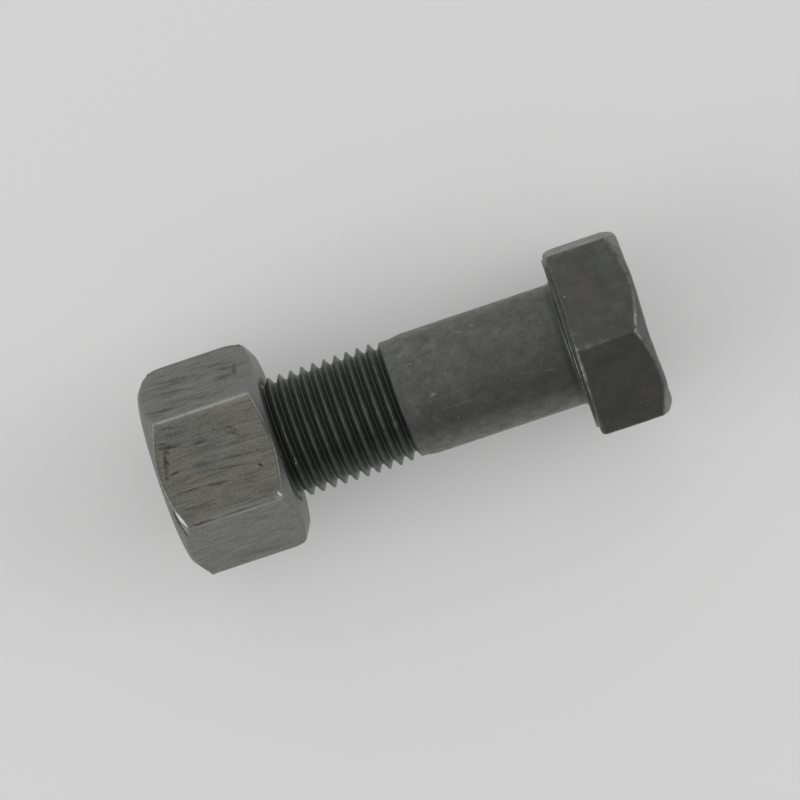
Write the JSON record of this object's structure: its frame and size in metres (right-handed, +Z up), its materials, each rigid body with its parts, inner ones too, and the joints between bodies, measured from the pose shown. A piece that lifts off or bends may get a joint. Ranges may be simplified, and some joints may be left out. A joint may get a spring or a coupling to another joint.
{
  "type": "hex bolt with nut",
  "caption": "Hexagon head bolt with a washer face, a plain shank and a fine thread, lying on its side with its hexagon nut run on to the end of the thread.",
  "frame": {"origin": "centre of the bearing face under the head, on the bolt's axis", "axes": "+X towards the head along the bolt, +Z up; the bolt lies with its axis raised 1.87 degrees at the head, as it rests on a flat of the nut and a corner of the head"},
  "size_m": [0.0649, 0.0274, 0.0275],
  "materials": {
    "dark_steel": "black oxide over forged steel, satin, worn bright along the edges",
    "bare_steel": "cold-drawn steel with an oil film, drawing scratches along the bolt's axis"
  },
  "bodies": {
    "bolt": {"bolt": "dark_steel"},
    "nut": {"nut": "bare_steel"}
  },
  "joints": [
    {"name": "nut_travel", "type": "slide", "parent": "bolt", "child": "nut", "axis": [0.9995, 0, 0.0327], "range_m": [-0.018, 0.015]}
  ]
}
